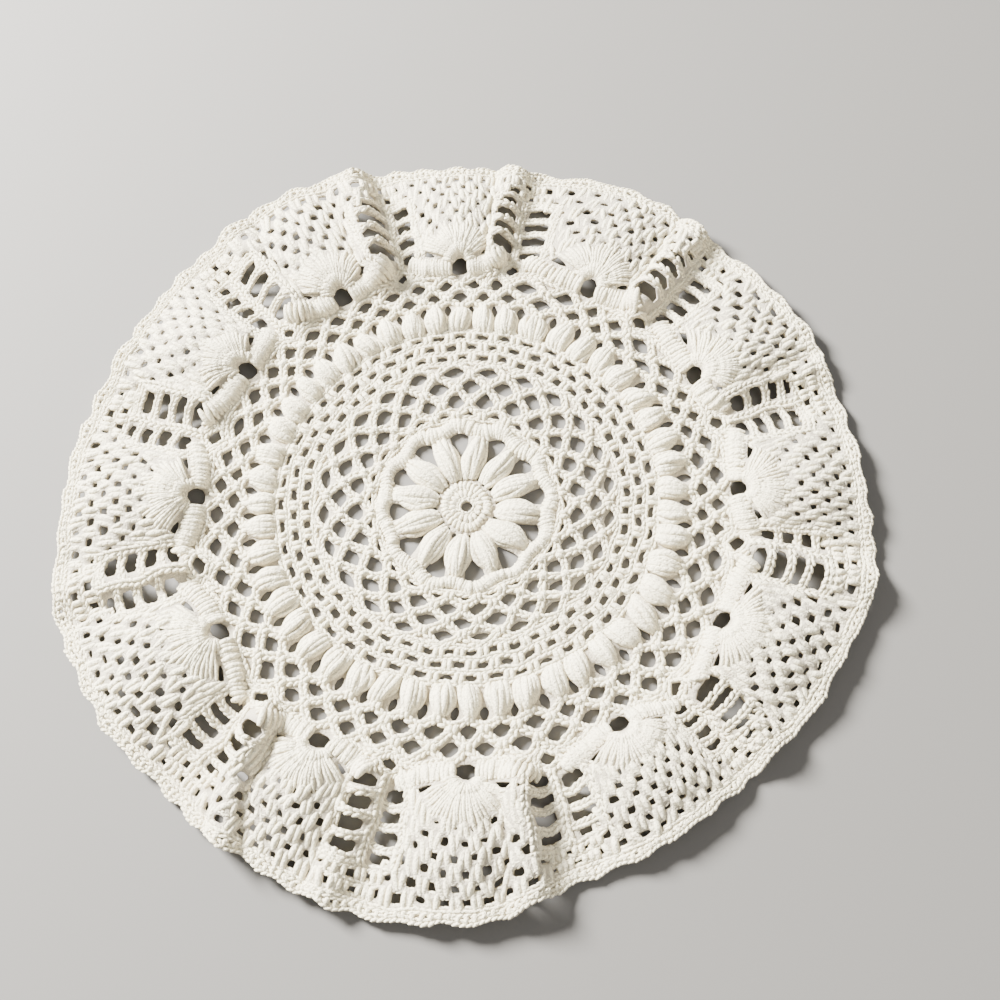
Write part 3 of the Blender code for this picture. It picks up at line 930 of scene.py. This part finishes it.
def chain_tree():
    """Sets a chain stitch on every point, along its row and upright on the cloth."""
    tree, given = new_tree("GeometryNodeTree", "chain stitches", (
        GEOMETRY,
        ("Stitch", "Object", None),
        ("Cotton", "Material", None),
        ("Sway", "Float", 0.12),
        ("Swell", "Float", 0.09),
        ("Seed", "Int", 5),
    ), (GEOMETRY,))

    def between(low, high):
        ends = {"Min": low.outputs[0], "Max": high, "Seed": given["Seed"]}
        return add_node(tree, "FunctionNodeRandomValue", ends, data_type="FLOAT_VECTOR").outputs["Value"]

    facing = add_node(tree, "FunctionNodeAxesToRotation", {
        "Primary Axis": named_attribute(tree, "along", "FLOAT_VECTOR"),
        "Secondary Axis": named_attribute(tree, "up", "FLOAT_VECTOR"),
    }, primary_axis="Y", secondary_axis="Z")
    sway_low = add_node(tree, "ShaderNodeMath", {0: given["Sway"], 1: -1.0}, operation="MULTIPLY")
    turn = add_node(tree, "FunctionNodeEulerToRotation", {"Euler": between(sway_low, given["Sway"])})
    rotated = add_node(tree, "FunctionNodeRotateRotation", {
        "Rotation": facing.outputs["Rotation"], "Rotate By": turn.outputs["Rotation"],
    }, rotation_space="LOCAL")
    least = add_node(tree, "ShaderNodeMath", {0: 1.0, 1: given["Swell"]}, operation="SUBTRACT")
    most = add_node(tree, "ShaderNodeMath", {0: 1.0, 1: given["Swell"]}, operation="ADD")
    sized = add_node(tree, "ShaderNodeVectorMath", {
        0: named_attribute(tree, "size", "FLOAT_VECTOR"), 1: between(least, most.outputs[0]),
    }, operation="MULTIPLY")
    stitch = add_node(tree, "GeometryNodeObjectInfo", {"Object": given["Stitch"]})
    placed = add_node(tree, "GeometryNodeInstanceOnPoints", {
        "Points": given["Geometry"], "Instance": stitch.outputs["Geometry"],
        "Rotation": rotated.outputs["Rotation"], "Scale": sized.outputs["Vector"],
    })
    tone = chance_tone(tree, given["Seed"])
    toned = stored(tree, placed.outputs["Instances"], "tone", tone, "FLOAT", "INSTANCE")
    finish_tree(tree, toned, given["Cotton"])
    return tree


def post_tree():
    """Makes every line of points a strand with a round section of its own thickness."""
    tree, given = new_tree("GeometryNodeTree", "posts", (
        GEOMETRY,
        ("Cotton", "Material", None),
        ("Sides", "Int", 8),
        ("Seed", "Int", 11),
    ), (GEOMETRY,))
    strands = add_node(tree, "GeometryNodeMeshToCurve", {"Mesh": given["Geometry"]}).outputs["Curve"]
    strands = stored(tree, strands, "tone", chance_tone(tree, given["Seed"]), "FLOAT", "CURVE")
    run = add_node(tree, "GeometryNodeSplineParameter").outputs["Length"]
    strands = stored(tree, strands, "run", run, "FLOAT", "POINT")
    circle = {"Radius": 1.0, "Resolution": given["Sides"]}
    section = add_node(tree, "GeometryNodeCurvePrimitiveCircle", circle)
    place = add_node(tree, "GeometryNodeInputPosition").outputs["Position"]
    swept = add_node(tree, "GeometryNodeCurveToMesh", {
        "Curve": strands,
        "Profile Curve": stored(tree, section.outputs["Curve"], "ring", place, "FLOAT_VECTOR", "POINT"),
        "Scale": named_attribute(tree, "thick", "FLOAT"),
        "Fill Caps": True,
    })
    finish_tree(tree, swept.outputs["Mesh"], given["Cotton"])
    return tree


def finish_tree(tree, geometry, cotton):
    """Realizes the result, shades it smooth and gives it its cotton."""
    for kind, more in (("RealizeInstances", {}), ("SetShadeSmooth", {}),
                       ("SetMaterial", {"Material": cotton})):
        node = add_node(tree, "GeometryNode" + kind, {"Geometry": geometry, **more})
        geometry = node.outputs["Geometry"]
    add_node(tree, "NodeGroupOutput", {"Geometry": geometry})


def grown(name, seed_mesh, tree, values):
    """A plain mesh object of what a tree makes from a mesh of points or lines."""
    seed = in_scene(name + "_seed", seed_mesh)
    modifier = seed.modifiers.new(tree.name, "NODES")
    modifier.node_group = tree
    for item in tree.interface.items_tree:
        if item.in_out == "INPUT" and item.name in values:
            modifier[item.identifier] = values[item.name]
    graph = bpy.context.evaluated_depsgraph_get()
    mesh = bpy.data.meshes.new_from_object(seed.evaluated_get(graph), depsgraph=graph)
    seed.modifiers.remove(modifier)
    bpy.data.objects.remove(seed)
    mesh.name = name
    return in_scene(name, mesh)


def chain_piece(stitches, stitch, cotton, tree):
    rows = stitches.chain_rows
    mesh = bpy.data.meshes.new(stitches.name + "_chain_points")
    mesh.from_pydata([row[0] for row in rows], [], [])
    for place, name in enumerate(("along", "up", "size"), 1):
        attribute = mesh.attributes.new(name, "FLOAT_VECTOR", "POINT")
        attribute.data.foreach_set("vector", [number for row in rows for number in row[place]])
    return grown(stitches.name + "_chains", mesh, tree, {"Stitch": stitch, "Cotton": cotton})


def post_piece(stitches, cotton, tree):
    places, lines, thick = [], [], []
    for spots in stitches.post_rows:
        start = len(places)
        places += [place for place, _ in spots]
        thick += [amount for _, amount in spots]
        lines += [(start + k, start + k + 1) for k in range(len(spots) - 1)]
    mesh = bpy.data.meshes.new(stitches.name + "_post_lines")
    mesh.from_pydata(places, lines, [])
    attribute = mesh.attributes.new("thick", "FLOAT", "POINT")
    attribute.data.foreach_set("value", thick)
    return grown(stitches.name + "_posts", mesh, tree, {"Cotton": cotton})


# The legs of a chain stitch
LEG_RUN = 0.0018           # half their length, in metres
LEG_APART = 0.20           # how far from the stitch's middle they lie, in stitch widths
LEG_OPENS = 11.0           # degrees
LEG_RISES = 5.0            # degrees


def chain_stitch():
    """One chain stitch of unit size: two plump legs that open forwards in a V."""
    bm = bmesh.new()
    ring = bm.verts.layers.float_vector.new("ring")
    run = bm.verts.layers.float.new("run")
    sides, rings = 6, 3
    for hand in (-1, 1):
        made = bmesh.ops.create_uvsphere(bm, u_segments=sides, v_segments=rings + 1, radius=1.0)
        for vert in made["verts"]:
            x, y, z = vert.co.x, vert.co.z, vert.co.y
            around = hypot(x, z) or 1.0
            vert[ring] = Vector((x / around, z / around * hand, 0.0))
            vert[run] = y * LEG_RUN
            front = 0.5 + 0.5 * y
            vert.co = Vector((x * (0.24 + 0.03 * front), y * 0.84, z * (0.39 + 0.05 * front)))
        opened = Matrix.Rotation(radians(-LEG_OPENS * hand), 4, "Z")
        turn = opened @ Matrix.Rotation(radians(LEG_RISES), 4, "X")
        move = Matrix.Translation((LEG_APART * hand, 0.0, 0.0))
        bmesh.ops.transform(bm, matrix=move @ turn, verts=made["verts"])
    return in_scene("chain_stitch", drawn_mesh("chain_stitch", bm))


# ---- cotton

# Light cotton, a darker colour that random tone and painted shade mix towards, and a painted shade colour
# for the ground sheet.
COTTON_LIGHT = (0.972, 0.902, 0.665, 1.0)
COTTON_TONE_AND_SHADE = (0.56, 0.49, 0.36, 1.0)
SHADE = (0.40, 0.35, 0.28, 1.0)


def cotton_group():
    """Colour and relief of crochet cotton: twisted plies, fine fibre, a change from stitch to stitch, and
    painted shade on the stitches' sides, in the ply grooves, in fibre specks and on the ground sheet.
    """
    group, given = new_tree("ShaderNodeTree", "cotton yarn", (
        ("Depth", "Float", 0.0),
        ("Ply Length", "Float", 0.0024),
        ("Plies", "Float", 2.0),
        ("Fibre Scale", "Float", 1300.0),
    ), (("Color", "Color", None), ("Height", "Float", None)))
    place = add_node(group, "ShaderNodeTexCoord").outputs["Object"]

    def maths(operation, *values):
        return add_node(group, "ShaderNodeMath", dict(enumerate(values)), operation=operation).outputs[0]

    def noise_at(scale, detail):
        noted = {"Vector": place, "Scale": scale, "Detail": detail}
        return add_node(group, "ShaderNodeTexNoise", noted).outputs["Fac"]

    def ranged(value, low, high, to_low, to_high):
        ends = {"Value": value, "From Min": low, "From Max": high, "To Min": to_low, "To Max": to_high}
        return add_node(group, "ShaderNodeMapRange", ends).outputs["Result"]

    def attribute(name, output):
        return add_node(group, "ShaderNodeAttribute", attribute_name=name).outputs[output]

    def blend(share, first, second):
        ends = {"Factor": share, "A": first, "B": second}
        return add_node(group, "ShaderNodeMix", ends, data_type="RGBA").outputs["Result"]

    ring = add_node(group, "ShaderNodeSeparateXYZ", {0: attribute("ring", "Vector")}).outputs
    around = maths("ARCTAN2", ring["Y"], ring["X"])
    along = maths("DIVIDE", attribute("run", "Fac"), given["Ply Length"])
    turns = maths("MULTIPLY", around, given["Plies"])
    ply = maths("ABSOLUTE", maths("SINE", maths("MULTIPLY_ADD", turns, 0.5, maths("MULTIPLY", along, pi))))
    fibre = noise_at(given["Fibre Scale"], 4.0)
    height = maths("MULTIPLY_ADD", maths("POWER", ply, 0.6), 0.4, maths("MULTIPLY", fibre, 1.5))

    # Painted shade: faces that turn sideways on the upper side are darkened, standing in for shade in the
    # crevices between stitches; faces turned down stay light.
    normal = add_node(group, "ShaderNodeNewGeometry").outputs["Normal"]
    upright = add_node(group, "ShaderNodeSeparateXYZ", {0: normal}).outputs["Z"]
    painted_side_shade = ranged(upright, 0.75, 0.0, 0.0, 0.8)
    above = ranged(upright, -0.7, -0.1, 0.0, 1.0)
    under = maths("MULTIPLY", painted_side_shade, above)
    tone = maths("MULTIPLY", attribute("tone", "Fac"), 0.12)
    patches = ranged(noise_at(26.0, 3.0), 0.45, 0.75, 0.0, 0.18)
    # Painted shade in the grooves between the plies.
    painted_groove_shade = ranged(ply, 0.40, 0.0, 0.0, 0.22)
    # Painted shade: dark fibre specks that stand in for shadows between fibres.
    painted_fibre_shade = ranged(fibre, 0.48, 0.34, 0.0, 0.7)
    # Random tone and patches, together with the painted shade, darken the light cotton.
    tone_and_painted_shade = maths("ADD", maths("ADD", maths("ADD", under, tone), patches), maths("ADD", painted_groove_shade, painted_fibre_shade))
    colour = blend(tone_and_painted_shade, COTTON_LIGHT, COTTON_TONE_AND_SHADE)
    # Painted shade on the ground sheet: its upper side is mixed towards the shade colour.
    shaded = blend(maths("MULTIPLY", given["Depth"], above), colour, SHADE)
    add_node(group, "NodeGroupOutput", {"Color": shaded, "Height": height})
    return group


def plain_material(name, values):
    """A material with its shader's own values set."""
    material = bpy.data.materials.new(name)
    material.use_nodes = True
    shader = material.node_tree.nodes["Principled BSDF"]
    for label, value in values.items():
        shader.inputs[label].default_value = value
    return material, shader


def cotton_material(name, group, painted_ground_shade=0.0):
    material, shader = plain_material(name, {
        "Roughness": 0.85, "Specular IOR Level": 0.2, "Sheen Weight": 0.2, "Sheen Roughness": 0.5,
    })
    tree = material.node_tree
    yarn = add_node(tree, "ShaderNodeGroup", {"Depth": painted_ground_shade}, node_tree=group)
    relief = {"Distance": 0.0007, "Strength": 0.7, "Height": yarn.outputs["Height"]}
    bump = add_node(tree, "ShaderNodeBump", relief)
    tree.links.new(yarn.outputs["Color"], shader.inputs["Base Color"])
    tree.links.new(bump.outputs["Normal"], shader.inputs["Normal"])
    return material


# ---- stage

CAMERA_AT = (0.01523, -0.16698, 0.3974)
CAMERA_DOWN = 67.47        # degrees below the horizon
CAMERA_ROLL = -2.61
CAMERA_LENS = 38.56        # on a 36 mm sensor


def camera():
    data = bpy.data.cameras.new("camera")
    data.sensor_width, data.lens = 36.0, CAMERA_LENS
    data.clip_start = 0.01
    viewer = in_scene("camera", data)
    raised = Matrix.Rotation(radians(90.0 - CAMERA_DOWN), 4, "X")
    rolled = Matrix.Rotation(radians(CAMERA_ROLL), 4, "Z")
    viewer.matrix_world = Matrix.Translation(CAMERA_AT) @ raised @ rolled
    bpy.context.scene.camera = viewer


FLOOR_HALF = 3.0           # in metres
FLOOR_COLOUR = (0.172, 0.166, 0.155, 1.0)


def floor():
    mesh = bpy.data.meshes.new("floor")
    corners = [(x * FLOOR_HALF, y * FLOOR_HALF, 0) for x, y in SLOT]
    mesh.from_pydata(corners, [], [(0, 1, 2, 3)])
    material, _ = plain_material("pale_floor", {"Base Color": FLOOR_COLOUR, "Roughness": 0.8})
    mesh.materials.append(material)
    in_scene("floor", mesh)


LIGHTS = table(
    "name place size power colour",
    ("window", (-1.1, 0.82, 0.8), 0.5, 280.0, (1.0, 0.985, 0.955)),
    ("fill", (0.9, -0.7, 1.4), 1.2, 10.0, (1.0, 0.98, 0.95)),
)
SKY_COLOUR, SKY_STRENGTH = (1.0, 0.98, 0.96, 1.0), 0.45


def lights():
    """Area lights that look at the middle, and an even sky."""
    for row in LIGHTS:
        data = bpy.data.lights.new(row["name"], "AREA")
        data.shape, data.size, data.energy, data.color = "DISK", row["size"], row["power"], row["colour"]
        lamp = in_scene(row["name"], data)
        lamp.location = row["place"]
        lamp.rotation_euler = (-lamp.location).to_track_quat("-Z", "Y").to_euler()
    world = bpy.data.worlds.new("studio")
    world.use_nodes = True
    sky = world.node_tree.nodes["Background"].inputs
    sky["Color"].default_value, sky["Strength"].default_value = SKY_COLOUR, SKY_STRENGTH
    bpy.context.scene.world = world


def main():
    group = cotton_group()
    # The ground sheet shows between the stitches and carries painted shade there.
    ground_cotton = cotton_material("cotton_ground", group, painted_ground_shade=0.7)
    chain_cotton = cotton_material("cotton_chain", group)
    post_cotton = cotton_material("cotton_post", group)
    ground = ground_sheet(ground_cotton)
    stitch = chain_stitch()
    chains, posts = chain_tree(), post_tree()
    pieces = []
    rounds = {"flower": flower, "open_net": open_net, "close_mesh": close_mesh, "puffs": puffs,
              "outer_net": outer_net, "fans": fans, "ladders": ladders, "rim": rim}
    for name, work in rounds.items():
        stitches = Stitches(name)
        work(stitches)
        if stitches.chain_rows:
            pieces.append(chain_piece(stitches, stitch, chain_cotton, chains))
        if stitches.post_rows:
            pieces.append(post_piece(stitches, post_cotton, posts))
    bpy.data.objects.remove(stitch)
    for piece in [ground] + pieces:
        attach(piece, "root")
    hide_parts("doily")
    camera()
    floor()
    lights()


main()
